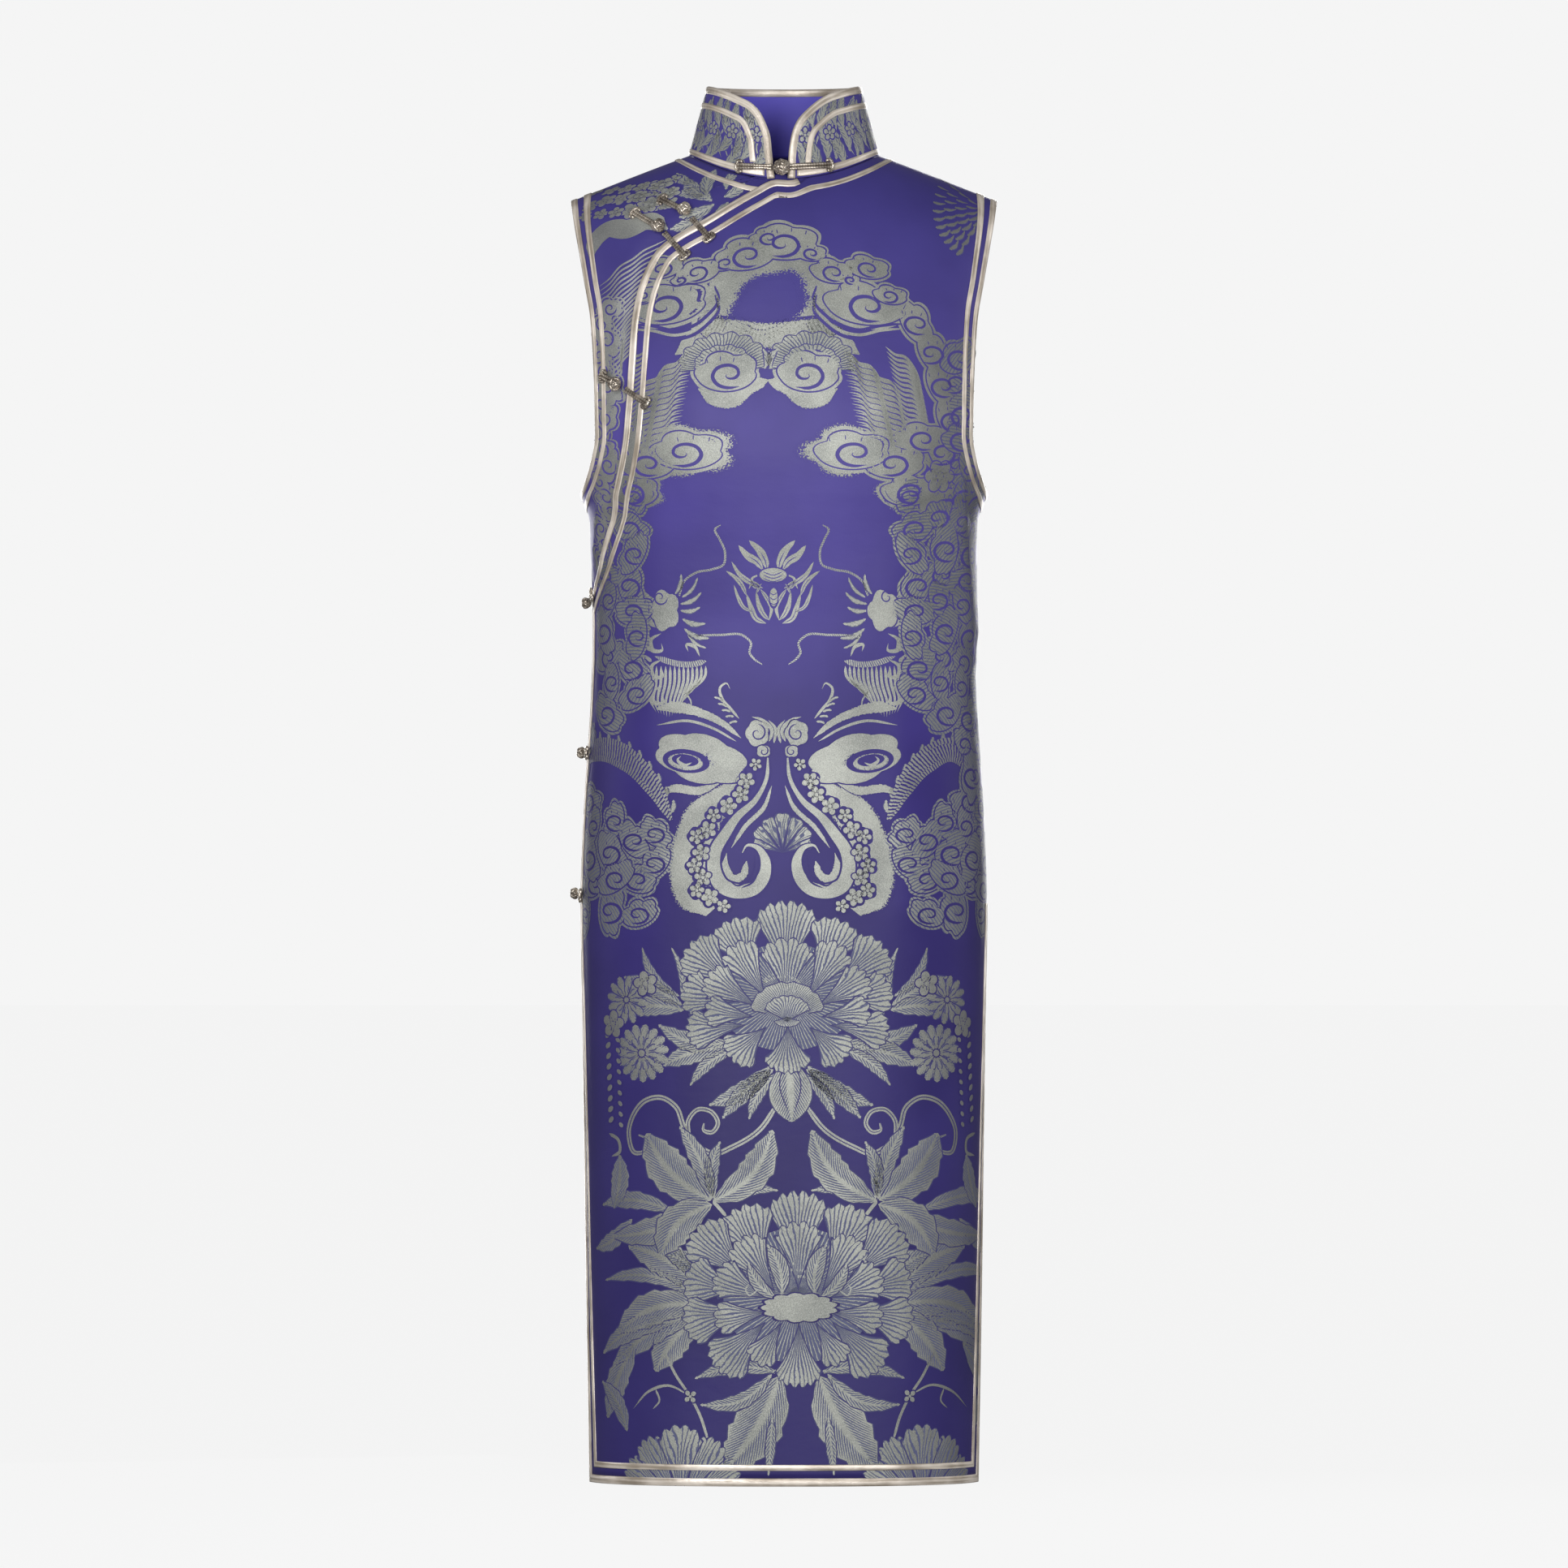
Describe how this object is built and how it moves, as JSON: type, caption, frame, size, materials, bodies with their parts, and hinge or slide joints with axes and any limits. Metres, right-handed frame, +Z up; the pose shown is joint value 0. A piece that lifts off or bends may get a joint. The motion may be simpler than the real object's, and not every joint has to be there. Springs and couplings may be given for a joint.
{
  "type": "qipao",
  "caption": "Sleeveless long dress in brocade with a stand collar, slanted opening, side slits, bound edges and knotted fastenings, in its worn hollow form.",
  "frame": {"origin": "middle of the neck, 4 mm below the inner ends of the shoulder seams", "axes": "+Z up, -Y the wearer's front, +X the wearer's left"},
  "size_m": [0.3684, 0.2174, 1.2022],
  "materials": {
    "brocade": "violet-blue satin brocade with silver-grey figures",
    "satin_trim": "champagne satin binding",
    "cord": "brown-grey metallic thread cord"
  },
  "bodies": {
    "root": {"front_panel": "brocade", "back_panel": "brocade", "underlap": "brocade", "collar": "brocade", "collar_binding": "satin_trim", "collar_trim": "satin_trim", "collar_base_trim": "satin_trim", "neckline_trim_back": "satin_trim", "neckline_trim_right": "satin_trim", "placket_binding": "satin_trim", "placket_trim": "satin_trim", "armhole_binding_left": "satin_trim", "armhole_binding_right": "satin_trim", "armhole_trim_left": "satin_trim", "armhole_trim_right": "satin_trim", "front_hem_binding": "satin_trim", "front_hem_trim": "satin_trim", "back_hem_binding": "satin_trim", "back_hem_trim": "satin_trim", "frog_collar_knot": "cord", "frog_collar_loop": "cord", "frog_upper_knot": "cord", "frog_upper_loop": "cord", "frog_shoulder_knot": "cord", "frog_shoulder_loop": "cord", "frog_underarm_knot": "cord", "frog_underarm_loop": "cord", "frog_side_upper_knot": "cord", "frog_side_upper_loop": "cord", "frog_side_middle_knot": "cord", "frog_side_middle_loop": "cord", "frog_side_lower_knot": "cord", "frog_side_lower_loop": "cord"}
  },
  "joints": []
}
